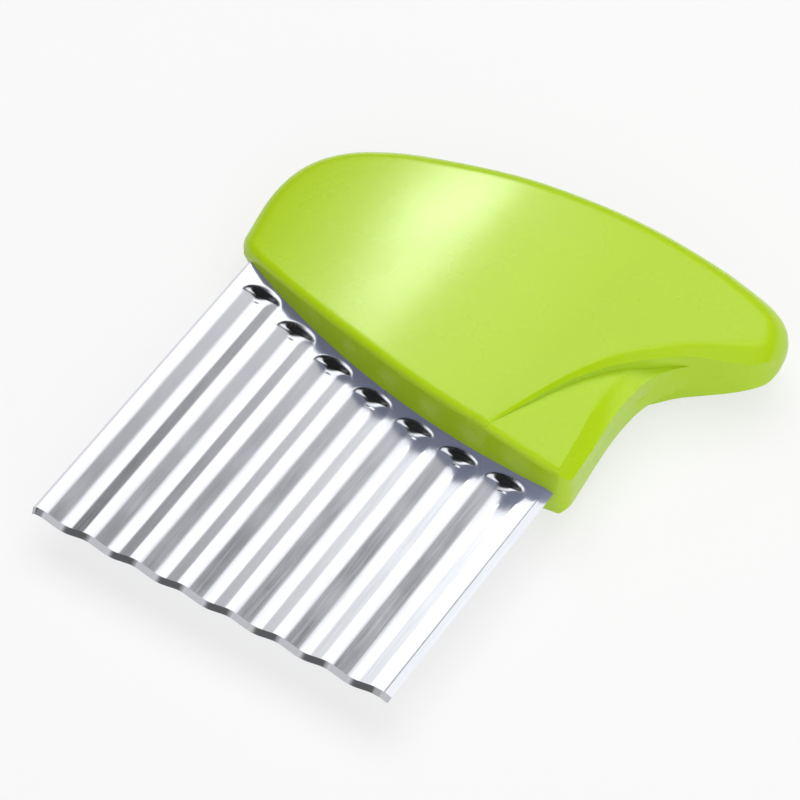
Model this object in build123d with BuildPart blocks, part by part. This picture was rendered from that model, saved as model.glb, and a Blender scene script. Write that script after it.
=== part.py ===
from build123d import *
import math
import os

# Hand-held crinkle cutter: a corrugated steel blade held in the front wall of a
# hollow plastic handle, which is two shells that meet on the plane of the blade.
# Sizes are in millimetres. X runs along the cutting edge, Y from the cutting edge
# to the back of the handle, Z up. The origin is on the table, in the flat strip
# on which the handle rests.

# ---- blade ----
groove_count = 7
groove_pitch = 10.0
groove_width = 9.6          # from rim to rim
groove_depth = 1.0
valley_radius = 5.0         # of the upper face, along the bottom of a groove
rim_radius = 4.2            # of the upper face, where a groove meets the flat
rim_break = 0.03            # the rim meets the flat at a very small angle
sheet = 0.8                 # thickness of the steel
left_strip = 2.0            # plain steel beside the first groove
right_strip = 3.0           # plain steel beside the last groove
fold_width = 1.6            # of the part of each side strip that is folded down
fold_drop = 0.6
cutting_edge_y = -80.0
bevel_length = 1.0          # ground face of the cutting edge, along Y
edge_land = 0.12            # steel left at the very edge
groove_end_gap = 0.4        # flat steel between a groove's round end and the handle

# ---- tang, the part of the blade inside the handle ----
shoulder_depth = 1.6        # the full width of the blade enters the wall this far
tang_depth = 15.0           # behind the face of the front wall
tang_inset = 5.0            # the tang is narrower than the blade by this, each side
slot_clearance = 0.1

# ---- outer shape of the handle ----
half_thickness = 9.3        # from the parting plane to either resting strip
crown_line = (              # height of both broad faces above the parting plane, across X
    (-75.0, -9.0), (-34.0, 3.8), (-19.0, 7.1), (9.0, 9.6), (41.0, 7.7), (54.0, 6.1), (75.0, 2.6))
edge_round = 5.5            # of the heel, the back and the beak
heel_foot = (-37.0, -40.0)
heel_lean = (-0.13, 1.0)
back_line = (
    (-41.8, -6.5), (-43.6, 3.0), (-40.1, 14.9), (-33.7, 21.0), (-20.0, 25.3), (5.0, 29.4),
    (28.0, 30.5), (46.0, 29.1), (53.2, 26.6), (56.4, 20.9), (53.5, 13.6))
beak_foot = (48.0, -40.0)
beak_lean = (-0.15, -1.0)
front_centre = (33.0, 141.0)
front_radius = 168.0        # the front wall is one long arc in plan
front_edge_round = 1.5
finger_foot = (41.0, -40.0)
finger_corner = (38.0, 4.5)
finger_end = (66.0, 23.4)
finger_radius = 8.0         # hollow in which the first finger lies
corner_round = 2.5          # front wall into finger wall
facet_foot = (22.5, -27.0)
facet_tip = (42.4, 6.3)
facet_radius = 55.0         # the step beside the facet is one arc in plan
facet_height = 9.0          # of the facet above the parting plane, at its foot
facet_fall_x = 0.173        # fall of the facet, per mm along X
facet_fall_y = 0.064        # and per mm along Y
facet_chamfer = 2.4

# ---- inside of the handle ----
wall = 2.4
rib_thickness = 1.6
rib_x = (-34.0, -12.0, 15.0, 33.0)
rib_gap = 1.2               # ribs stop this far from the parting plane
boss_diameter = 7.6
peg_diameter = 4.0
peg_clearance = 0.1
peg_rise = 4.5              # of a peg above the parting plane
peg_lead = 0.5              # chamfer at the top of a peg
tang_peg_x = (-23.0, 3.0, 27.0)
tang_peg_depth = 8.5        # behind the face of the front wall
back_pegs = ((-28.0, 9.0), (2.0, 17.0), (40.0, 19.0))

blade_width = left_strip + groove_count * groove_pitch + right_strip
blade_left = -blade_width / 2
blade_right = blade_width / 2
sheet_top = half_thickness + sheet / 2
reach = 100.0               # longer than whatever a cut has to pass


def front_y(x, behind=0.0):
    """Y of the front wall at x, or of the line that runs this far behind it."""
    return front_centre[1] - math.sqrt((front_radius - behind) ** 2 - (x - front_centre[0]) ** 2)


tang_pegs = [(x, front_y(x, tang_peg_depth)) for x in tang_peg_x]
groove_x = [blade_left + left_strip + groove_pitch * (count + 0.5) for count in range(groove_count)]


# ---------------------------------------------------------------- blade
# Half a groove's section is two arcs, the valley and the rim, joined by a slant.

both_radii = valley_radius + rim_radius
radii_above = both_radii - groove_depth - rim_break
slant = math.asin(both_radii / math.hypot(groove_width / 2, radii_above))
slant -= math.atan2(radii_above, groove_width / 2)
slant_length = (groove_width / 2 - both_radii * math.sin(slant)) / math.cos(slant)


def half_groove(below, closing_z):
    """Section between a line this far below the upper face and a level line."""
    turn = math.degrees(slant)
    with BuildSketch() as section:
        with BuildLine():
            valley = JernArc((0, -groove_depth - below), (1, 0), valley_radius + below, turn)
            side = Line(valley @ 1, valley @ 1 + (valley % 1) * slant_length)
            rim = JernArc(side @ 1, side % 1, rim_radius - below, -turn)
            Polyline(rim @ 1, ((rim @ 1).X, closing_z), (0, closing_z), valley @ 0)
        make_face()
    return section.sketch


def groove(below, closing_z):
    """A straight groove that runs along -Y from its round end about the Z axis."""
    half = half_groove(below, closing_z)
    with BuildPart() as tool:
        with BuildSketch(Plane.XZ):
            add(half)
            mirror(about=Plane.YZ)
        extrude(amount=reach)
        with BuildSketch(Plane.XZ):
            add(half)
        revolve(axis=Axis.Z, revolution_arc=180)
    return tool.part


def plain_blade(clearance):
    """The folded sheet with its tang, or the space that it needs in the handle."""
    left = blade_left - clearance
    right = blade_right + clearance
    upper = sheet_top + clearance
    lower = sheet_top - sheet - clearance
    with BuildPart() as plain:
        with BuildSketch(Plane.XZ):
            with BuildLine():
                Polyline(
                    (left, upper - fold_drop), (blade_left + fold_width, upper),
                    (blade_right - fold_width, upper), (right, upper - fold_drop),
                    (right, lower - fold_drop), (blade_right - fold_width, lower),
                    (blade_left + fold_width, lower), (left, lower - fold_drop), close=True)
            make_face()
        extrude(amount=reach, both=True)
        with BuildSketch():
            with Locations((0, cutting_edge_y)):
                Rectangle(right - left, reach, align=(Align.CENTER, Align.MIN))
            with Locations(front_centre):
                Circle(front_radius - shoulder_depth - clearance, mode=Mode.SUBTRACT)
            with BuildSketch(mode=Mode.PRIVATE) as tang:
                Rectangle(right - left - 2 * tang_inset, -2 * cutting_edge_y)
                with Locations(front_centre):
                    Circle(front_radius - tang_depth - clearance, mode=Mode.SUBTRACT)
            add(tang.sketch)
        extrude(amount=2 * half_thickness, mode=Mode.INTERSECT)
    return plain.part


groove_places = []
for x in groove_x:
    groove_places.append(Location((x, front_y(x, -groove_end_gap - groove_width / 2), sheet_top)))

with BuildPart() as crinkle_blade:
    add(plain_blade(0))
    with Locations(groove_places):
        add(groove(sheet, -sheet / 2))
    with Locations(groove_places):
        add(groove(0, sheet), mode=Mode.SUBTRACT)
    split(bisect_by=Plane.XZ.offset(-cutting_edge_y), keep=Keep.BOTTOM)
    # the bevel follows the wave: what lies above the sheet comes down at a slant
    with BuildSketch(Plane.XZ.offset(-cutting_edge_y - bevel_length)):
        with BuildLine():
            Polyline(
                (blade_left, sheet_top - fold_drop), (blade_left + fold_width, sheet_top),
                (blade_right - fold_width, sheet_top), (blade_right, sheet_top - fold_drop),
                (blade_right, sheet_top + sheet), (blade_left, sheet_top + sheet), close=True)
        make_face()
        with Locations([(x, sheet_top) for x in groove_x]):
            add(half_groove(0, sheet / 2))
            add(half_groove(0, sheet / 2).mirror(Plane.YZ))
    bevel_fall = sheet - edge_land
    extrude(
        amount=2 * math.hypot(bevel_length, bevel_fall),
        dir=(0, -bevel_length, -bevel_fall), mode=Mode.SUBTRACT)
    with BuildSketch():
        with Locations(tang_pegs):
            Circle(peg_diameter / 2 + peg_clearance)
    extrude(amount=2 * half_thickness, mode=Mode.SUBTRACT)


# ---------------------------------------------------------------- handle
# One half is modelled with the parting plane at Z = 0, then mirrored for the other.
# The same form, inset by the wall, is the hollow inside.

facet_normal = Vector(facet_fall_x, facet_fall_y, 1).normalized()


def moved_in(line, inset):
    """The same line, moved to its right by the inset."""
    parts = [count / 40 for count in range(41)]
    points = [line @ part + (line % part).rotate(Axis.Z, -90) * inset for part in parts]
    return Spline(*points, tangents=(line % 0, line % 1))


def half_form(inset):
    """The solid upper half of the handle's form, or the same form inset all round."""
    with BuildSketch() as crown:
        with BuildLine():
            arch = moved_in(Spline(*crown_line, mode=Mode.PRIVATE), inset)
            Polyline(arch @ 1, ((arch @ 1).X, -reach), ((arch @ 0).X, -reach), arch @ 0)
        make_face()
    with BuildPart() as form:
        with BuildSketch(Plane.XY.offset(-reach)):
            with BuildLine():
                leans = (heel_lean, beak_lean)
                outer = Spline(heel_foot, *back_line, beak_foot, tangents=leans, mode=Mode.PRIVATE)
                back = moved_in(outer, inset)
                Line(back @ 1, back @ 0)
            make_face()
        extrude(amount=2 * reach)
        with BuildSketch(Plane.XZ.offset(reach)):
            add(crown.sketch)
        extrude(amount=-2 * reach, mode=Mode.INTERSECT)
        broad_face = faces().sort_by(Axis.Z)[-1]
        front_edges = broad_face.edges().group_by(Axis.Y)[0]
        fillet(broad_face.edges() - front_edges, edge_round - inset)
        # the front wall and the finger wall are cut straight down through the round form
        with BuildSketch():
            with BuildLine():
                Polyline(
                    finger_foot, finger_corner, finger_end, (finger_end[0], reach),
                    (-reach, reach), (-reach, finger_foot[1]), close=True)
            make_face()
            fillet(vertices().sort_by_distance(finger_corner)[0], finger_radius)
            with Locations(front_centre):
                Circle(front_radius, mode=Mode.INTERSECT)
            corner = (finger_foot[0], front_y(finger_foot[0]))
            fillet(vertices().sort_by_distance(corner)[0], corner_round)
            if inset:
                offset(amount=-inset, kind=Kind.INTERSECTION)
        extrude(amount=half_thickness - inset, mode=Mode.INTERSECT)
    floor = Plane(Vector(*facet_foot, facet_height) - facet_normal * inset, z_dir=facet_normal)
    with BuildPart() as over_facet:
        with BuildSketch():
            with BuildLine():
                step = RadiusArc(facet_foot, facet_tip, facet_radius)
                outer_x = finger_end[0]
                Polyline(
                    step @ 1, (outer_x, facet_tip[1]), (outer_x, heel_foot[1]),
                    (facet_foot[0], heel_foot[1]), step @ 0)
            make_face()
            if inset:
                offset(amount=inset, kind=Kind.INTERSECTION)
        extrude(amount=reach)
        split(bisect_by=floor, keep=Keep.TOP)
    with BuildPart() as faceted:
        add(form.part)
        add(over_facet.part, mode=Mode.SUBTRACT)
    return faceted.part


with BuildPart() as ribs_and_bosses:
    with BuildSketch(Plane.XY.offset(rib_gap)):
        with Locations([(x, 0) for x in rib_x]):
            Rectangle(rib_thickness, reach)
    extrude(amount=half_thickness)
    with BuildSketch(Plane.XY.offset(sheet / 2)):
        with Locations(tang_pegs):
            Circle(boss_diameter / 2)
    extrude(amount=half_thickness)
    with BuildSketch():
        with Locations(back_pegs):
            Circle(boss_diameter / 2)
    extrude(amount=half_thickness)
    # they end halfway into the wall, so that they are one with it
    add(half_form(wall / 2), mode=Mode.INTERSECT)

with BuildPart() as half_shell:
    add(half_form(0))
    facet = faces().filter_by(GeomType.PLANE).sort_by(
        lambda face: (face.normal_at() - facet_normal).length)[0]
    chamfer(facet.edges().filter_by(lambda edge: edge.center().X > finger_corner[0]), facet_chamfer)
    front_wall = faces().filter_by(GeomType.CYLINDER).sort_by(
        lambda face: abs(face.radius - front_radius))[0]
    fillet(front_wall.edges().filter_by(lambda edge: edge.center().Z > 0.01), front_edge_round)
    split(bisect_by=Plane.XY, keep=Keep.TOP)
    add(half_form(wall), mode=Mode.SUBTRACT)
    add(ribs_and_bosses.part)

with BuildPart() as handle_upper_shell:
    with Locations((0, 0, half_thickness)):
        add(half_shell.part)
    add(plain_blade(slot_clearance), mode=Mode.SUBTRACT)
    with BuildSketch(Plane.XY.offset(half_thickness)):
        with Locations(tang_pegs + list(back_pegs)):
            Circle(peg_diameter / 2 + peg_clearance)
    extrude(amount=peg_rise + 2 * peg_clearance, mode=Mode.SUBTRACT)

with BuildPart() as handle_lower_shell:
    with Locations((0, 0, half_thickness)):
        add(half_shell.part.mirror(Plane.XY))
    add(plain_blade(slot_clearance), mode=Mode.SUBTRACT)
    with BuildSketch(Plane.XY.offset(half_thickness - sheet)):
        with Locations(tang_pegs + list(back_pegs)):
            Circle(peg_diameter / 2)
    extrude(amount=sheet + peg_rise)
    chamfer(faces().sort_by(Axis.Z)[-1].edges(), peg_lead)


# ---------------------------------------------------------------- export

os.makedirs("parts", exist_ok=True)
crinkle_blade.part.label = "crinkle_blade"
export_step(crinkle_blade.part, "parts/crinkle_blade.step")
handle_upper_shell.part.label = "handle_upper_shell"
export_step(handle_upper_shell.part, "parts/handle_upper_shell.step")
handle_lower_shell.part.label = "handle_lower_shell"
export_step(handle_lower_shell.part, "parts/handle_lower_shell.step")
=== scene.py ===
import math
import numpy
import bpy
import bmesh
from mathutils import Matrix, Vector


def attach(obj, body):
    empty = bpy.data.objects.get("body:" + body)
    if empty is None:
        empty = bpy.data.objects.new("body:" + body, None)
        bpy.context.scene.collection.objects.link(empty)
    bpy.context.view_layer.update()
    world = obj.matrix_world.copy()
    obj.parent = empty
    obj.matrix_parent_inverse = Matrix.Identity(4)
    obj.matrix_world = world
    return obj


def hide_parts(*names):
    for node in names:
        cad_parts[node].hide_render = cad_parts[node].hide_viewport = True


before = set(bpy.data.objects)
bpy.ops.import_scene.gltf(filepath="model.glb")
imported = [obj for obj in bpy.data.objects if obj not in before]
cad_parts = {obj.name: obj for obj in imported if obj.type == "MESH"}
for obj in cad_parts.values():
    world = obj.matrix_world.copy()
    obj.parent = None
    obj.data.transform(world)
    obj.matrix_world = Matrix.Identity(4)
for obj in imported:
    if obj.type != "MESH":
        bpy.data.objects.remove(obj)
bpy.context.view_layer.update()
bpy.ops.object.select_all(action='DESELECT')
bpy.context.view_layer.objects.active = None

# ---------------------------------------------------------------- crinkle blade
# A sheet of polished stainless steel, pressed into seven round-ended grooves, with a narrow
# strip folded down at each side and a bevel ground along the waved edge. Its tang is clamped
# between the two handle shells on three pegs.

blade_half_width = 0.0375
sheet_top = 0.0097
sheet = 0.0008
cutting_edge_y = -0.080
bevel_length = 0.001
edge_land = 0.00012            # thickness left at the cutting edge
right_fold_width = 0.0016
left_fold_width = 0.0008
fold_drop = 0.0006
groove_pitch = 0.010
first_groove_x = -0.0305
groove_count = 7
groove_width = 0.0096
groove_depth = 0.0010
valley_radius = 0.0050
rim_radius = 0.0042
wall_centre_x = 0.033          # the handle's front wall is an arc about this centre
wall_centre_y = 0.141
wall_radius = 0.168
groove_end_gap = 0.0003        # between the front wall and the round ends
groove_end_length = 0.0040     # the round end's reach along Y
end_slope = math.radians(29)
end_rim_radius = 0.0040
end_valley_radius = 0.0040
end_blend = 0.00022            # softness of the line where a groove meets its round end
shoulder_depth = 0.0016        # of the full-width sheet inside the handle
tang_depth = 0.0150
tang_inset = 0.005
peg_xs = (-0.023, 0.003, 0.027)
peg_depth = 0.0085             # of the pegs behind the front wall
peg_hole_radius = 0.0021
peg_hole_sides = 48
columns_across = 300
fine_row_gap = 0.00015         # rows of the mesh over the round ends
fine_row_count = 50
last_near_rows = [0.0075, 0.009]
far_row_count = 6
hair = 1e-6                    # allowance when a place is compared


def front_wall_y(x, behind=0.0):
    """Y of the handle's front wall, or of an arc this far behind it."""
    return wall_centre_y - math.sqrt((wall_radius - behind) ** 2 - (x - wall_centre_x) ** 2)


def pressed_depth(reach, half_width, depth, low_radius, high_radius):
    """Depth at this distance from the middle of a hollow of two arcs and a slant."""
    radii = low_radius + high_radius
    slope = (math.asin(radii / math.hypot(half_width, radii - depth))
             - math.atan2(radii - depth, half_width))
    low = low_radius * math.sin(slope)
    high = half_width - high_radius * math.sin(slope)
    if reach <= low:
        return depth - low_radius + math.sqrt(low_radius ** 2 - reach ** 2)
    if reach >= half_width:
        return 0.0
    if reach >= high:
        return high_radius - math.sqrt(high_radius ** 2 - (half_width - reach) ** 2)
    return depth - low_radius * (1 - math.cos(slope)) - (reach - low) * math.tan(slope)


# length over which a round end comes down to the groove's full depth
end_fall = ((end_rim_radius + end_valley_radius) * math.sin(end_slope)
            + (groove_depth - (end_rim_radius + end_valley_radius) * (1 - math.cos(end_slope)))
            / math.tan(end_slope))


def blade_top_z(x, y):
    """Height of the sheet's upper face, with its folds, grooves and their round ends."""
    fold = left_fold_width if x < 0 else right_fold_width
    beyond = abs(x) - (blade_half_width - fold)
    z = sheet_top - max(0.0, beyond) * fold_drop / fold
    number = round((x - first_groove_x) / groove_pitch)
    if not 0 <= number < groove_count:
        return z
    groove_x = first_groove_x + number * groove_pitch
    aside = abs(x - groove_x)
    if aside >= groove_width / 2:
        return z
    along = pressed_depth(aside, groove_width / 2, groove_depth, valley_radius, rim_radius)
    rim_y = (front_wall_y(groove_x) - groove_end_gap - groove_end_length
             + groove_end_length * math.sqrt(1 - (2 * aside / groove_width) ** 2))
    inwards = rim_y - y
    if inwards <= 0:
        return z
    if inwards >= end_fall:
        return z - along
    across = pressed_depth(
        end_fall - inwards, end_fall, groove_depth, end_valley_radius, end_rim_radius)
    meet = max(end_blend - abs(along - across), 0.0) / end_blend
    return z - max(0.0, min(along, across) - end_blend * meet * meet / 4)


# rows of the sheet by their distance from the front wall, close together over the round ends
shoulder_rows = [-shoulder_depth, -shoulder_depth / 2]
fine_rows = [fine_row_gap * count for count in range(fine_row_count)]
near_rows = shoulder_rows + fine_rows + last_near_rows
row_count = len(near_rows) + far_row_count + 1
bpy.ops.mesh.primitive_grid_add(
    x_subdivisions=columns_across, y_subdivisions=row_count - 1, size=2, location=(0, 0, 0))
blade = bpy.context.object
blade.name = "corrugated_blade"
sheet_mesh = blade.data
for vertex in sheet_mesh.vertices:
    x = vertex.co.x * blade_half_width
    row = round((1 - vertex.co.y) / 2 * (row_count - 1))
    if row < len(near_rows):
        y = front_wall_y(x) - near_rows[row]
    elif row == row_count - 1:
        y = cutting_edge_y
    else:
        share = (row - len(near_rows) + 1) / far_row_count
        start = front_wall_y(x) - near_rows[-1]
        y = start + (cutting_edge_y + bevel_length - start) * share
    vertex.co = (x, y, blade_top_z(x, y))

# the tang is drawn out of the sheet's back edge
bpy.ops.object.mode_set(mode='EDIT')
bpy.ops.mesh.select_mode(type='EDGE')
bpy.ops.mesh.select_all(action='DESELECT')
bpy.ops.object.mode_set(mode='OBJECT')
for edge in sheet_mesh.edges:
    ends = [sheet_mesh.vertices[index].co for index in edge.vertices]
    edge.select = all(
        end.y > front_wall_y(end.x) + shoulder_depth - hair
        and abs(end.x) < blade_half_width - tang_inset + hair for end in ends)
bpy.ops.object.mode_set(mode='EDIT')
bpy.ops.mesh.extrude_region_move(
    TRANSFORM_OT_translate={"value": (0, tang_depth - shoulder_depth, 0)})
bpy.ops.object.mode_set(mode='OBJECT')

# the sheet gets its thickness, and the bevel comes down to a thin land at the edge
vertex_count = len(sheet_mesh.vertices)
thickness = blade.modifiers.new("thickness", 'SOLIDIFY')
thickness.thickness = sheet
thickness.offset = -1
thickness.use_even_offset = True
bpy.ops.object.modifier_apply(modifier=thickness.name)
sheet_mesh = blade.data
for index in range(vertex_count):
    upper = sheet_mesh.vertices[index]
    if upper.co.y < cutting_edge_y + bevel_length / 2:
        lower = sheet_mesh.vertices[index + vertex_count]
        upper.co = lower.co + (upper.co - lower.co) * edge_land / sheet

hole_cutters = []
for x in peg_xs:
    bpy.ops.object.select_all(action='DESELECT')
    bpy.ops.mesh.primitive_cylinder_add(
        vertices=peg_hole_sides, radius=peg_hole_radius, depth=5 * sheet,
        location=(x, front_wall_y(x, peg_depth), sheet_top - sheet / 2))
    hole_cutters.append(bpy.context.object)
for cutter in hole_cutters:
    cutter.select_set(True)
bpy.context.view_layer.objects.active = hole_cutters[0]
bpy.ops.object.join()
cutter = bpy.context.object
bpy.ops.object.select_all(action='DESELECT')
blade.select_set(True)
bpy.context.view_layer.objects.active = blade
holes = blade.modifiers.new("peg_holes", 'BOOLEAN')
holes.object = cutter
holes.operation = 'DIFFERENCE'
holes.solver = 'EXACT'
bpy.ops.object.modifier_apply(modifier=holes.name)
bpy.data.objects.remove(cutter)
bpy.ops.object.mode_set(mode='EDIT')
bpy.ops.mesh.select_all(action='SELECT')
bpy.ops.mesh.normals_make_consistent(inside=False)
bpy.ops.object.mode_set(mode='OBJECT')
bpy.ops.object.shade_smooth_by_angle(angle=math.radians(22))

# marks of handling, on steel and plastic: broad smudges and small specks
speck_scale = 900.0
handling_marks = bpy.data.node_groups.new("handling_marks", 'ShaderNodeTree')
for name, in_or_out, kind in (
        ("Position", 'INPUT', 'NodeSocketVector'), ("Smudge Size", 'INPUT', 'NodeSocketFloat'),
        ("Smudges", 'OUTPUT', 'NodeSocketFloat'), ("Specks", 'OUTPUT', 'NodeSocketFloat')):
    handling_marks.interface.new_socket(name=name, in_out=in_or_out, socket_type=kind)
nodes = handling_marks.nodes
links = handling_marks.links
given = nodes.new("NodeGroupInput")
put_out = nodes.new("NodeGroupOutput")
smudge_scale = nodes.new("ShaderNodeMath")
smudge_scale.operation = 'DIVIDE'
smudge_scale.inputs[0].default_value = 1.0
links.new(given.outputs["Smudge Size"], smudge_scale.inputs[1])
for name, detail, low, high in (("Smudges", 4.0, 0.35, 0.72), ("Specks", 1.0, 0.60, 0.74)):
    noise = nodes.new("ShaderNodeTexNoise")
    noise.inputs["Detail"].default_value = detail
    links.new(given.outputs["Position"], noise.inputs["Vector"])
    if name == "Smudges":
        links.new(smudge_scale.outputs["Value"], noise.inputs["Scale"])
    else:
        noise.inputs["Scale"].default_value = speck_scale
    levels = nodes.new("ShaderNodeMapRange")
    levels.inputs["From Min"].default_value = low
    levels.inputs["From Max"].default_value = high
    links.new(noise.outputs["Fac"], levels.inputs["Value"])
    links.new(levels.outputs["Result"], put_out.inputs[name])

steel_light = (0.78, 0.79, 0.835, 1)
steel_dark = (0.71, 0.725, 0.785, 1)
steel_smudge_size = 0.012
smudge_dulling = 0.05
grain_scale = (6000, 110, 6000)          # the rolling grain runs along the grooves
grain_range = (0.3, 0.7)
grain_roughness = (0.10, 0.17)
steel = bpy.data.materials.new("polished_steel")
steel.use_nodes = True
nodes = steel.node_tree.nodes
links = steel.node_tree.links
shader = nodes["Principled BSDF"]
shader.inputs["Metallic"].default_value = 1.0
place = nodes.new("ShaderNodeTexCoord")
along_grooves = nodes.new("ShaderNodeMapping")
along_grooves.inputs["Scale"].default_value = grain_scale
links.new(place.outputs["Object"], along_grooves.inputs["Vector"])
grain = nodes.new("ShaderNodeTexNoise")
grain.inputs["Scale"].default_value = 1.0
grain.inputs["Detail"].default_value = 3.0
links.new(along_grooves.outputs["Vector"], grain.inputs["Vector"])
marks = nodes.new("ShaderNodeGroup")
marks.node_tree = handling_marks
marks.inputs["Smudge Size"].default_value = steel_smudge_size
links.new(place.outputs["Object"], marks.inputs["Position"])
grain_gloss = nodes.new("ShaderNodeMapRange")
grain_gloss.inputs["From Min"].default_value = grain_range[0]
grain_gloss.inputs["From Max"].default_value = grain_range[1]
grain_gloss.inputs["To Min"].default_value = grain_roughness[0]
grain_gloss.inputs["To Max"].default_value = grain_roughness[1]
links.new(grain.outputs["Fac"], grain_gloss.inputs["Value"])
dulled = nodes.new("ShaderNodeMath")
dulled.operation = 'MULTIPLY_ADD'
dulled.inputs[1].default_value = smudge_dulling
links.new(marks.outputs["Smudges"], dulled.inputs[0])
links.new(grain_gloss.outputs["Result"], dulled.inputs[2])
links.new(dulled.outputs["Value"], shader.inputs["Roughness"])
steel_tone = nodes.new("ShaderNodeMix")
steel_tone.data_type = 'RGBA'
steel_tone.inputs["A"].default_value = steel_light
steel_tone.inputs["B"].default_value = steel_dark
links.new(grain.outputs["Fac"], steel_tone.inputs["Factor"])
links.new(steel_tone.outputs["Result"], shader.inputs["Base Color"])
rolled = nodes.new("ShaderNodeBump")
rolled.inputs["Strength"].default_value = 0.25
rolled.inputs["Distance"].default_value = 0.000004
links.new(grain.outputs["Fac"], rolled.inputs["Height"])
links.new(rolled.outputs["Normal"], shader.inputs["Normal"])
blade.data.materials.clear()
blade.data.materials.append(steel)
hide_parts("crinkle_blade")
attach(blade, "root")
bpy.ops.object.select_all(action='DESELECT')

# ---------------------------------------------------------------- handle shells
# Two hollow shells moulded in lime-green plastic, one the mirror of the other, that meet on
# the plane of the blade. Pegs on the lower one are pressed into bosses in the upper one.
# Beside the finger hold each has a lower, flat facet with a broad chamfer.

mm = 0.001                     # the handle's sizes are in millimetres
parting_z = 9.3
front_centre = (33.0, 141.0)   # the front wall's arc, the same one that the blade uses
front_radius = 168.0
crown_line = (                 # X, and the broad face's height above the parting plane
    (-75.0, -9.0), (-34.0, 3.8), (-19.0, 7.1), (9.0, 9.6), (41.0, 7.7), (54.0, 6.1), (75.0, 2.6))
rest_height = 9.3              # the crown is levelled here, for the strip it rests on
rest_blend = 0.12
back_line = (                  # from the heel round the back to the beak's tip, in plan
    (-37.0, -40.0), (-41.2, -6.2), (-42.66, 4.8), (-40.75, 14.1), (-33.9, 20.85),
    (-20.0, 25.1), (5.0, 29.4), (28.0, 30.46), (46.0, 29.3), (53.5, 27.0), (56.3, 21.2),
    (55.75, 16.8), (48.0, -40.0))
back_leans = ((-0.13, 1.0), (-0.15, -1.0))
step_line = (                  # from the beak's tip along its underside and down beside the facet
    (58.5, 19.8), (54.4, 15.5), (49.8, 12.2), (45.1, 9.4), (42.2, 7.3), (39.9, 5.0), (37.4, 2.5),
    (34.0, -1.4), (31.4, -5.6), (29.0, -10.5), (26.2, -17.8), (22.5, -27.6))
beak_from_x = 50.0
tip_round = 3.6
heel_x = -40.9
heel_round = 2.0
point_spacing = 0.25


def curve_through(points, leans=None, spacing=point_spacing):
    """Close points along a smooth curve through these, a cubic between each pair."""
    along = [0.0]
    for here, there in zip(points, points[1:]):
        along.append(along[-1] + math.dist(here, there))
    count = len(points)
    slopes = []
    for axis in (0, 1):
        rows = numpy.zeros((count, count))
        sides = numpy.zeros(count)
        for number in range(1, count - 1):
            before = along[number] - along[number - 1]
            after = along[number + 1] - along[number]
            rows[number, number - 1:number + 2] = (after, 2 * (before + after), before)
            sides[number] = 3 * (
                after * (points[number][axis] - points[number - 1][axis]) / before
                + before * (points[number + 1][axis] - points[number][axis]) / after)
        for number, other in ((0, 1), (count - 1, count - 2)):
            rows[number, number] = 2 if leans is None else 1
            if leans is None:
                rows[number, other] = 1
                sides[number] = (3 * (points[other][axis] - points[number][axis])
                                 / (along[other] - along[number]))
            else:
                lean = leans[0 if number == 0 else 1]
                sides[number] = lean[axis] / math.hypot(*lean)
        slopes.append(numpy.linalg.solve(rows, sides))
    line = []
    for number in range(count - 1):
        length = along[number + 1] - along[number]
        steps = max(2, round(length / spacing))
        for step in range(steps + (number == count - 2)):
            t = step / steps
            line.append(tuple(
                (2 * t ** 3 - 3 * t ** 2 + 1) * points[number][axis]
                + (t ** 3 - 2 * t ** 2 + t) * length * slopes[axis][number]
                + (3 * t ** 2 - 2 * t ** 3) * points[number + 1][axis]
                + (t ** 3 - t ** 2) * length * slopes[axis][number + 1]
                for axis in (0, 1)))
    return line


crown_points = curve_through(crown_line, spacing=0.5)
crown_xs = [point[0] for point in crown_points]
crown_zs = [point[1] for point in crown_points]


def wall_y(x):
    """Y of the front wall."""
    return front_centre[1] - math.sqrt(front_radius ** 2 - (x - front_centre[0]) ** 2)


def closed_by_front(line):
    """The part of a line that lies behind the front wall, closed by the wall's arc."""
    kept = [point for point in line if point[1] > wall_y(point[0])]
    start, end = kept[-1][0], kept[0][0]
    steps = round(abs(end - start) / point_spacing)
    arc = [start + (end - start) * step / steps for step in range(steps + 1)]
    return kept + [(x, wall_y(x)) for x in arc]


def rounded(ring, corner, reach):
    """A closed line with one corner rounded, from this far off on both sides."""
    nearest = min(range(len(ring)), key=lambda number: math.dist(ring[number], corner))
    corner = ring[nearest]
    half = len(ring) // 2
    ring = [ring[(nearest + half + number) % len(ring)] for number in range(len(ring))]
    first = [point for point in ring[:half] if math.dist(point, corner) > reach]
    last = [point for point in ring[half:] if math.dist(point, corner) > reach]
    steps = max(4, round(2 * reach / point_spacing))
    bend = []
    for step in range(1, steps):
        t = step / steps
        bend.append(tuple(
            (1 - t) ** 2 * first[-1][axis] + 2 * t * (1 - t) * corner[axis] + t ** 2 * last[0][axis]
            for axis in (0, 1)))
    return first + bend + last


back = curve_through(back_line, back_leans)
steps_down = curve_through(step_line)
tip = min(((math.dist(here, there), number, other)
           for number, here in enumerate(back) for other, there in enumerate(steps_down)
           if there[0] > beak_from_x))
outline = closed_by_front(back[:tip[1]] + steps_down[tip[2]:])
outline = rounded(outline, back[tip[1]], tip_round)
outline = rounded(outline, (heel_x, wall_y(heel_x)), heel_round)


def evenly(line, count):
    """The closed line again, in this many points that stand equally far apart."""
    ring = numpy.array(line + line[:1])
    along = numpy.concatenate(([0.0], numpy.cumsum(numpy.hypot(*numpy.diff(ring, axis=0).T))))
    places = numpy.arange(count) / count * along[-1]
    return numpy.column_stack([numpy.interp(places, along, ring[:, axis]) for axis in (0, 1)])


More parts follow.
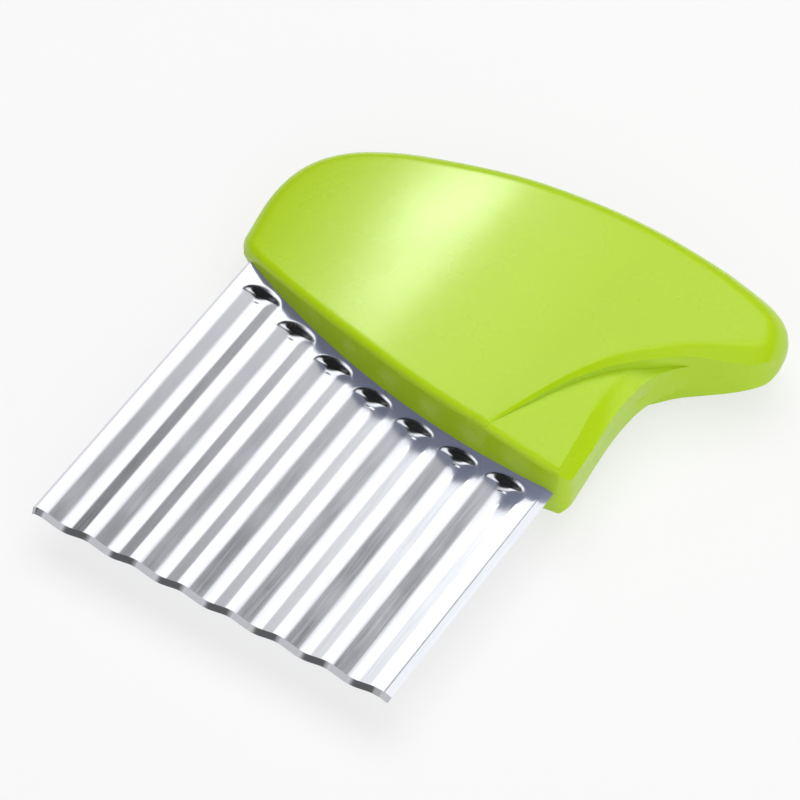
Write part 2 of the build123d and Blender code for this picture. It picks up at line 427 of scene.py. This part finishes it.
def inward(ring):
    """Unit normals to the inside of a ring that runs clockwise."""
    ahead = numpy.roll(ring, -1, axis=0) - numpy.roll(ring, 1, axis=0)
    ahead /= numpy.hypot(*ahead.T)[:, None]
    return numpy.column_stack([ahead[:, 1], -ahead[:, 0]])


def eased(values, passes):
    """Values round a ring, each drawn towards its neighbours this many times."""
    for _ in range(passes):
        values = (numpy.roll(values, 1) + 2 * values + numpy.roll(values, -1)) / 4
    return values


def by_place(values, places):
    """Values that change along a list of places, read at each of these."""
    known = numpy.array(values, dtype=float)
    return numpy.interp(places, known[:, 0], known[:, 1])


def off_line(places, line):
    """Distance of each place from an open line."""
    starts = numpy.array(line[:-1])
    spans = numpy.array(line[1:]) - starts
    nearest = numpy.full(len(places), 1e9)
    for start, span in zip(starts, spans):
        away = places - start
        share = numpy.clip((away @ span) / (span @ span), 0, 1)
        nearest = numpy.minimum(nearest, numpy.hypot(*(away - share[:, None] * span).T))
    return nearest


def off_front(places):
    """Distance of each place behind the front wall."""
    return front_radius - numpy.hypot(places[:, 0] - front_centre[0], places[:, 1] - front_centre[1])


def round_fall(distance, width, drop):
    """Fall of an edge that is a quarter of an ellipse."""
    share = numpy.clip(1 - distance / width, 0, 1)
    return drop * (1 - numpy.sqrt(1 - share ** 2))


def flat_fall(distance, width, drop, softness):
    """Fall of a flat chamfer whose upper crease is soft."""
    share = 1 - distance / width
    return drop * numpy.logaddexp(0, share / softness) / numpy.logaddexp(0, 1 / softness)


def together(*falls):
    """Falls from several edges in one, with no crease where two of them meet."""
    return sum(numpy.maximum(fall, 0) ** 4 for fall in falls) ** (1 / 4)


# widths and drops of the edges, each by its X
back_widths = ((-43, 2.3), (-30, 4.0), (-10, 3.9), (15, 3.7), (40, 4.2), (56, 6.3))
front_widths = ((-41, 2.1), (-35, 1.6))
step_widths = ((22, 0.5), (27, 0.6), (31.6, 0.9), (35, 1.3), (40, 1.6), (47, 2.1), (54, 2.8))
step_drops = (
    (22, 0.2), (27, 0.8), (31.6, 1.2), (35, 1.35), (40, 1.45), (45, 1.65), (50, 2.1), (53, 2.45),
    (56, 2.9))
step_softness = 0.12
back_steepness = 1.05          # drop of the back edge by its width
least_edge_height = 0.45       # that its drop leaves above the parting plane
tip_narrowing = 0.55           # its width is less round the beak's tip, past this X and Y
tip_from_x = 44.0
tip_over_x = 8.0
tip_below_y = 25.0
tip_over_y = 10.0
soft_fall_drop = 0.35          # the broad face turns down a little before the back edge
soft_fall_width = 13.0


def crown_heights(xs):
    """Of the broad face above the parting plane, levelled at the strip it rests on."""
    height = numpy.interp(xs, crown_xs, crown_zs)
    return rest_height - rest_blend * numpy.logaddexp(0, (rest_height - height) / rest_blend)


def main_heights(places):
    """Of the main form: its crown, less what falls away to the back, front and step."""
    xs = places[:, 0]
    at_tip = (numpy.clip((xs - tip_from_x) / tip_over_x, 0, 1)
              * numpy.clip((tip_below_y - places[:, 1]) / tip_over_y, 0, 1))
    back_width = by_place(back_widths, xs) * (1 - tip_narrowing * at_tip)
    back_drop = numpy.minimum(back_steepness * back_width, crown_heights(xs) - least_edge_height)
    front_width = by_place(front_widths, xs)
    back_distance = off_line(places, back[:tip[1]])
    to_back = numpy.clip(1 - back_distance / back_width, 0, 1)
    to_front = numpy.clip(1 - off_front(places) / front_width, 0, 1)
    both = numpy.maximum(to_back ** 2 + to_front ** 2, 1e-9)
    drop = (back_drop * to_back ** 2 + front_width * to_front ** 2) / both
    soft_fall = soft_fall_drop * numpy.clip(1 - back_distance / soft_fall_width, 0, 1) ** 2
    falls = soft_fall + together(
        drop * (1 - numpy.sqrt(1 - numpy.minimum(both, 1))),
        flat_fall(off_line(places, steps_down), by_place(step_widths, xs),
                  by_place(step_drops, xs), step_softness))
    return crown_heights(xs) - falls


# The main form's mesh is a set of closed rows from the parting plane up the wall, over the
# edge and along rays to a hub in the broad face.
ring_points = 560
edge_rows = 14
edge_crowding = 1.5            # the rows stand closest at the foot of the edge
inner_rows = 30
inner_crowding = 1.3
hub = numpy.array((5.0, 6.0))
least_facing = 0.3
step_reaches = (
    (22, 0.55), (27, 0.65), (31.6, 0.95), (35, 1.4), (40, 1.7), (47, 2.2), (54, 2.9))
front_margin = 0.1             # the rows of the edge end this far past its width
back_margin = 0.2
lowest = 0.12                  # height of the wall's top above the parting plane
seam_height = 0.05
seam_inset = 0.03              # the fine groove of the parting line
wall_shares = (0.0, 0.3, 0.65)

ring = evenly(outline, ring_points)
xs = ring[:, 0]
normals = inward(ring)
rays = hub - ring
rays /= numpy.hypot(*rays.T)[:, None]
facing = numpy.maximum((normals * rays).sum(axis=1), least_facing)
on_front = off_front(ring) < 0.05
on_step = off_line(ring, steps_down) < 0.2
reach = numpy.where(on_front, by_place(front_widths, xs) + front_margin, numpy.where(
    on_step, by_place(step_reaches, xs), by_place(back_widths, xs) + back_margin))
reach = eased(reach / facing, passes=6)
shares = numpy.linspace(0, 1, edge_rows + 1) ** edge_crowding
heights = numpy.array([main_heights(ring + rays * (reach * share)[:, None]) for share in shares])
begin = numpy.array([
    numpy.interp(lowest, heights[:, number], shares) if heights[0, number] < lowest else 0.0
    for number in range(len(ring))])
rows = []
for share in shares:
    row = ring + rays * (reach * (begin + (1 - begin) * share))[:, None]
    rows.append(numpy.column_stack([row, numpy.maximum(main_heights(row), lowest)]))
foot = rows[0]
seam = foot - numpy.column_stack([-normals * seam_inset, foot[:, 2]])
walls = [numpy.column_stack([foot[:, :2], seam_height + (foot[:, 2] - seam_height) * share])
         for share in wall_shares]
for step in range(1, inner_rows + 1):
    row = hub + (rows[edge_rows][:, :2] - hub) * (1 - (step / inner_rows) ** inner_crowding)
    rows.append(numpy.column_stack([row, main_heights(row)]))
rows = [seam] + walls + rows

bpy.ops.object.select_all(action='DESELECT')
bpy.ops.mesh.primitive_grid_add(
    x_subdivisions=len(ring), y_subdivisions=len(rows) - 1, size=2, location=(0, 0, 0))
upper_shell = bpy.context.object
upper_shell.name = "upper_shell"
for vertex in upper_shell.data.vertices:
    column = round((vertex.co.x + 1) / 2 * len(ring)) % len(ring)
    row = round((vertex.co.y + 1) / 2 * (len(rows) - 1))
    x, y, z = rows[row][column]
    vertex.co = (x * mm, y * mm, (parting_z + z) * mm)
bpy.ops.object.mode_set(mode='EDIT')
bpy.ops.mesh.select_all(action='SELECT')
bpy.ops.mesh.remove_doubles(threshold=hair)
bpy.ops.mesh.select_all(action='DESELECT')
bpy.ops.mesh.select_mode(type='EDGE')
bpy.ops.mesh.select_non_manifold(extend=False)
bpy.ops.mesh.edge_face_add()
bpy.ops.mesh.select_all(action='SELECT')
bpy.ops.mesh.normals_make_consistent(inside=False)
bpy.ops.object.mode_set(mode='OBJECT')

# The facet is a form of its own, joined to the main one. Its left side is hidden inside.
facet_foot = (22.5, -27.0)
facet_height_at_foot = 9.0
facet_slope = (0.173, 0.064)   # fall per mm along X and Y
facet_below_crown = 0.12
facet_front_round = 1.6
facet_inset = 0.03             # keeps the facet's front just inside that of the main form
facet_middle = Vector((31.0, -14.0))
facet_seam_inset = 0.05
hidden_line = (
    (43.6, 10.0), (41.0, 8.6), (37.0, 5.2), (33.0, 0.8), (29.6, -4.4), (26.8, -10.5),
    (23.4, -18.0), (19.6, -25.0), (18.6, -29.0))
finger_side = (
    (40.9, -34.0), (40.2, -26.0), (39.5, -17.6), (38.85, -9.6), (38.9, -3.5), (39.55, 0.95),
    (40.6, 3.75), (42.0, 6.1), (44.0, 8.7))
finger_line = curve_through(finger_side)
chamfer_width = ((-26, 2.3), (-19, 2.7), (-12, 3.1), (-7, 3.4), (-2, 3.5), (6, 3.4))   # by Y
crease_height = ((-26, 3.65), (-17, 3.3), (-9, 3.5), (-3, 3.65), (1, 3.75), (4, 3.6), (8, 3.1))
crease_softness = 0.04
corner_radius = 2.7            # in plan, between the front wall and the finger wall
chamfer_columns = 8
plain_columns = 14
front_rows = 8
front_rows_reach = 1.7
facet_rows = 44


def facet_heights(places):
    """Of the facet's sloped plane, less its rounded front and its chamfer."""
    xs, ys = places[:, 0], places[:, 1]
    plane = (facet_height_at_foot - facet_slope[0] * (xs - facet_foot[0])
             - facet_slope[1] * (ys - facet_foot[1]))
    plane = numpy.minimum(plane, crown_heights(xs) - facet_below_crown)
    width = by_place(chamfer_width, ys)
    return plane - together(
        round_fall(off_front(places) - facet_inset, facet_front_round, facet_front_round),
        flat_fall(off_line(places, finger_line), width, plane - by_place(crease_height, ys),
                  crease_softness))


def behind_front(line):
    """A line's points as distances behind the front wall, with their X."""
    return numpy.array([(y - wall_y(x), x) for x, y in line])


hidden_places = behind_front(curve_through(hidden_line)[::-1])
finger_places = behind_front(finger_line)
far_end = min(hidden_places[-1, 0], finger_places[-1, 0])
near = [facet_inset + front_rows_reach * (1 - math.cos(math.pi / 2 * count / front_rows))
        for count in range(front_rows + 1)]
behind = near + [near[-1] + (far_end - near[-1]) * (count / facet_rows) ** 0.9
                 for count in range(1, facet_rows + 1)]
bpy.ops.object.select_all(action='DESELECT')
bpy.ops.mesh.primitive_grid_add(
    x_subdivisions=chamfer_columns + plain_columns, y_subdivisions=len(behind) - 1,
    size=2, location=(0, 0, 0))
facet = bpy.context.object
facet.name = "facet"
places = []
for vertex in facet.data.vertices:
    column = round((1 - vertex.co.x) / 2 * (chamfer_columns + plain_columns))
    back_by = behind[round((vertex.co.y + 1) / 2 * (len(behind) - 1))]
    left = numpy.interp(back_by, hidden_places[:, 0], hidden_places[:, 1])
    right = numpy.interp(back_by, finger_places[:, 0], finger_places[:, 1])
    width = min(float(by_place(chamfer_width, wall_y(right) + back_by)), 0.6 * (right - left))
    if column <= chamfer_columns:
        x = right - width * column / chamfer_columns
    else:
        x = (right - width
             - (right - left - width) * (column - chamfer_columns) / plain_columns)
    aside = max(0.0, 1 - (right - x) / corner_radius)
    ahead = max(0.0, 1 - back_by / corner_radius)
    x -= corner_radius * aside * (1 - math.sqrt(1 - ahead ** 2 / 2))
    back_by += corner_radius * ahead * (1 - math.sqrt(1 - aside ** 2 / 2))
    places.append((x, wall_y(x) + back_by))
places = numpy.array(places)
for vertex, (x, y), z in zip(facet.data.vertices, places, facet_heights(places)):
    vertex.co = (x * mm, y * mm, (parting_z + z) * mm)
bpy.ops.object.mode_set(mode='EDIT')
bpy.ops.mesh.select_mode(type='EDGE')
for height, shrink in ((seam_height, 0.0), (0.0, facet_seam_inset)):
    bpy.ops.mesh.select_all(action='DESELECT')
    bpy.ops.mesh.select_non_manifold(extend=False)
    bpy.ops.mesh.extrude_region_move(TRANSFORM_OT_translate={"value": (0, 0, -mm)})
    form = bmesh.from_edit_mesh(facet.data)
    for vertex in form.verts:
        if vertex.select:
            away = (facet_middle * mm - vertex.co.xy).normalized() * shrink * mm
            vertex.co = (vertex.co.x + away.x, vertex.co.y + away.y, (parting_z + height) * mm)
    bmesh.update_edit_mesh(facet.data)
bpy.ops.mesh.edge_face_add()
bpy.ops.mesh.select_all(action='SELECT')
bpy.ops.mesh.normals_make_consistent(inside=False)
bpy.ops.object.mode_set(mode='OBJECT')

bpy.ops.object.select_all(action='DESELECT')
upper_shell.select_set(True)
bpy.context.view_layer.objects.active = upper_shell
union = upper_shell.modifiers.new("facet", 'BOOLEAN')
union.object = facet
union.operation = 'UNION'
union.solver = 'EXACT'
bpy.ops.object.modifier_apply(modifier=union.name)
bpy.data.objects.remove(facet)
bpy.ops.object.shade_smooth_by_angle(angle=math.radians(20))

# the lower shell is the upper one, mirrored in the parting plane
bpy.ops.object.duplicate()
lower_shell = bpy.context.object
lower_shell.name = "lower_shell"
for vertex in lower_shell.data.vertices:
    vertex.co.z = 2 * parting_z * mm - vertex.co.z
bpy.ops.object.mode_set(mode='EDIT')
bpy.ops.mesh.select_all(action='SELECT')
bpy.ops.mesh.flip_normals()
bpy.ops.object.mode_set(mode='OBJECT')

lime = (0.495, 0.745, 0.004, 1)
smudged_lime = (0.48, 0.73, 0.003, 1)
rubbed_lime = (0.515, 0.76, 0.03, 1)
painted_reflection_grey = (0.42, 0.46, 0.60, 1)    # painted reflection: greyer and bluer than the lime, the colour the handle takes only where the steel mirrors it
plastic_smudge_size = 0.016
plastic_roughness = (0.26, 0.30)
pore_scale = 2600.0
plastic = bpy.data.materials.new("lime_plastic")
plastic.use_nodes = True
nodes = plastic.node_tree.nodes
links = plastic.node_tree.links
shader = nodes["Principled BSDF"]
place = nodes.new("ShaderNodeTexCoord")
marks = nodes.new("ShaderNodeGroup")
marks.node_tree = handling_marks
marks.inputs["Smudge Size"].default_value = plastic_smudge_size
links.new(place.outputs["Object"], marks.inputs["Position"])
gloss = nodes.new("ShaderNodeMapRange")
gloss.inputs["To Min"].default_value = plastic_roughness[0]
gloss.inputs["To Max"].default_value = plastic_roughness[1]
links.new(marks.outputs["Smudges"], gloss.inputs["Value"])
links.new(gloss.outputs["Result"], shader.inputs["Roughness"])
pigment = nodes.new("ShaderNodeMix")
pigment.data_type = 'RGBA'
pigment.inputs["A"].default_value = lime
pigment.inputs["B"].default_value = smudged_lime
links.new(marks.outputs["Smudges"], pigment.inputs["Factor"])
rubbed = nodes.new("ShaderNodeMix")
rubbed.data_type = 'RGBA'
rubbed.inputs["B"].default_value = rubbed_lime
links.new(pigment.outputs["Result"], rubbed.inputs["A"])
speck_strength = nodes.new("ShaderNodeMath")
speck_strength.operation = 'MULTIPLY'
speck_strength.inputs[1].default_value = 0.35
links.new(marks.outputs["Specks"], speck_strength.inputs[0])
links.new(speck_strength.outputs["Value"], rubbed.inputs["Factor"])
# painted reflection: in rays that the steel mirrors, the plastic's colour is swapped for a blue-grey
path = nodes.new("ShaderNodeLightPath")
painted_reflection_tone = nodes.new("ShaderNodeMix")
painted_reflection_tone.data_type = 'RGBA'
painted_reflection_tone.inputs["B"].default_value = painted_reflection_grey
links.new(rubbed.outputs["Result"], painted_reflection_tone.inputs["A"])
links.new(path.outputs["Is Glossy Ray"], painted_reflection_tone.inputs["Factor"])
links.new(painted_reflection_tone.outputs["Result"], shader.inputs["Base Color"])
pores = nodes.new("ShaderNodeTexNoise")
pores.inputs["Scale"].default_value = pore_scale
pores.inputs["Detail"].default_value = 2.0
links.new(place.outputs["Object"], pores.inputs["Vector"])
mould_texture = nodes.new("ShaderNodeBump")
mould_texture.inputs["Strength"].default_value = 0.12
mould_texture.inputs["Distance"].default_value = 0.000006
links.new(pores.outputs["Fac"], mould_texture.inputs["Height"])
links.new(mould_texture.outputs["Normal"], shader.inputs["Normal"])
for shell, node in ((upper_shell, "handle_upper_shell"), (lower_shell, "handle_lower_shell")):
    shell.data.materials.clear()
    shell.data.materials.append(plastic)
    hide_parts(node)
    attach(shell, "root")
bpy.ops.object.select_all(action='DESELECT')

# ---------------------------------------------------------------- stage
# A plain pale floor, which the camera and the steel see as nearly white, a studio whose far
# wall glows in the steel and on the broad face, three soft lamps and the camera.

floor_grey = (0.9, 0.9, 0.9, 1)
floor_paleness = 0.7
bpy.ops.mesh.primitive_plane_add(size=6, location=(0, 0, 0))
floor = bpy.context.object
floor.name = "floor"
white = bpy.data.materials.new("white_floor")
white.use_nodes = True
shader = white.node_tree.nodes["Principled BSDF"]
shader.inputs["Base Color"].default_value = floor_grey
shader.inputs["Roughness"].default_value = 0.9
shader.inputs["Specular IOR Level"].default_value = 0.0
nodes = white.node_tree.nodes
links = white.node_tree.links
path = nodes.new("ShaderNodeLightPath")
seen = nodes.new("ShaderNodeMath")
seen.operation = 'MAXIMUM'
links.new(path.outputs["Is Camera Ray"], seen.inputs[0])
links.new(path.outputs["Is Glossy Ray"], seen.inputs[1])
seen_too = nodes.new("ShaderNodeMath")
seen_too.operation = 'MAXIMUM'
links.new(seen.outputs["Value"], seen_too.inputs[0])
links.new(path.outputs["Is Transmission Ray"], seen_too.inputs[1])
paleness = nodes.new("ShaderNodeMath")
paleness.operation = 'MULTIPLY'
paleness.inputs[1].default_value = floor_paleness
links.new(seen_too.outputs["Value"], paleness.inputs[0])
backdrop = nodes.new("ShaderNodeEmission")
mixed = nodes.new("ShaderNodeMixShader")
links.new(paleness.outputs["Value"], mixed.inputs["Fac"])
links.new(shader.outputs["BSDF"], mixed.inputs[1])
links.new(backdrop.outputs["Emission"], mixed.inputs[2])
links.new(mixed.outputs["Shader"], nodes["Material Output"].inputs["Surface"])
floor.data.materials.append(white)

world = bpy.data.worlds.new("studio")
bpy.context.scene.world = world
world.use_nodes = True
nodes = world.node_tree.nodes
links = world.node_tree.links
background = nodes["Background"]
direction = nodes.new("ShaderNodeTexCoord")
parts = nodes.new("ShaderNodeSeparateXYZ")
links.new(direction.outputs["Generated"], parts.inputs["Vector"])


def maths(operation, *values):
    """The output of a math node on these numbers and sockets."""
    node = nodes.new("ShaderNodeMath")
    node.operation = operation
    for socket, value in zip(node.inputs, values):
        if isinstance(value, (int, float)):
            socket.default_value = value
        else:
            links.new(value, socket)
    return node.outputs["Value"]


def product(value, *factors):
    """The output of one multiplication after another."""
    for factor in factors:
        value = maths('MULTIPLY', value, factor)
    return value


def ramp(value, none_at, full_at):
    """A smooth rise from 0 to 1, as the value goes from one number to the other."""
    node = nodes.new("ShaderNodeMapRange")
    node.interpolation_type = 'SMOOTHERSTEP'
    links.new(value, node.inputs["Value"])
    node.inputs["From Min"].default_value = none_at
    node.inputs["From Max"].default_value = full_at
    return node.outputs["Result"]


# Azimuth is in degrees round the vertical, from +X towards +Y, and height in degrees above
# the floor. The camera stands at azimuth -57, so what it sees mirrored lies beyond the tool.
azimuth = product(maths('ARCTAN2', parts.outputs["Y"], parts.outputs["X"]), 180 / math.pi)
height = product(maths('ARCSINE', parts.outputs["Z"]), 180 / math.pi)

# the far wall's glow: brighter to the left and lower down, with a slanted left edge
edge_line = maths('SUBTRACT', azimuth, product(maths('SUBTRACT', height, 40), 1.2))
left_edge = ramp(edge_line, 163.2, 153.5)
glow = maths('ADD', 0.33, product(maths('SUBTRACT', azimuth, 75), 0.052))
glow = maths('SUBTRACT', glow, product(maths('SUBTRACT', height, 57), 0.080))
glow = maths('MAXIMUM', maths('MINIMUM', glow, 1.0), 0.02)
light = product(glow, left_edge, ramp(height, 68, 61))
# a second glow to its right, and a dark band under both
right_glow = product(ramp(azimuth, 73, 66), ramp(height, 30, 42), 0.9)
light = maths('MAXIMUM', light, right_glow)
dark_band = product(ramp(azimuth, -40, -30), ramp(azimuth, 138, 128), ramp(height, 45, 35))
light = product(light, maths('SUBTRACT', 1, product(dark_band, 0.9)), ramp(azimuth, -30, 0))
# the near side, behind the camera, lights the front walls
near_side = product(ramp(azimuth, -135, -105), ramp(azimuth, -15, -50), ramp(height, 63, 54))
near_left = product(ramp(azimuth, -90, -110), ramp(height, 56, 48))
light = maths('ADD', light, product(near_side, 0.50))
light = maths('ADD', light, product(near_left, 0.09))
links.new(maths('ADD', product(light, 1.35), 0.010), background.inputs["Strength"])
background.inputs["Color"].default_value = (1, 1, 1, 1)

# name, place, size, power, and whether it is seen only as a highlight
lamp_target = Vector((0, -0.02, 0))
for name, place, size, power, mirrored in (
        ("top_lamp", (-0.1, 0.25, 0.8), 0.7, 3.2, False),
        ("right_lamp", (0.70, -0.36, 0.38), 0.6, 1.7, False),
        ("back_lamp", (-0.180, 0.214, 0.234), 0.08, 0.30, True)):
    lamp_data = bpy.data.lights.new(name, 'AREA')
    lamp_data.shape = 'SQUARE'
    lamp_data.size = size
    lamp_data.energy = power
    lamp = bpy.data.objects.new(name, lamp_data)
    bpy.context.scene.collection.objects.link(lamp)
    lamp.location = place
    lamp.rotation_euler = (lamp_target - Vector(place)).to_track_quat('-Z', 'Y').to_euler()
    lamp.visible_glossy = mirrored
    lamp.visible_diffuse = not mirrored

camera_data = bpy.data.cameras.new("camera")
camera = bpy.data.objects.new("camera", camera_data)
bpy.context.scene.collection.objects.link(camera)
camera.location = (0.29537, -0.47392, 0.67752)
camera_target = Vector((0.003436, -0.023912, 0.0093))
camera.rotation_euler = (camera_target - camera.location).to_track_quat('-Z', 'Y').to_euler()
camera_data.sensor_width = 36
camera_data.lens = 216.08
camera_data.clip_start = 0.01
bpy.context.scene.camera = camera

bpy.context.scene.view_settings.view_transform = 'Standard'
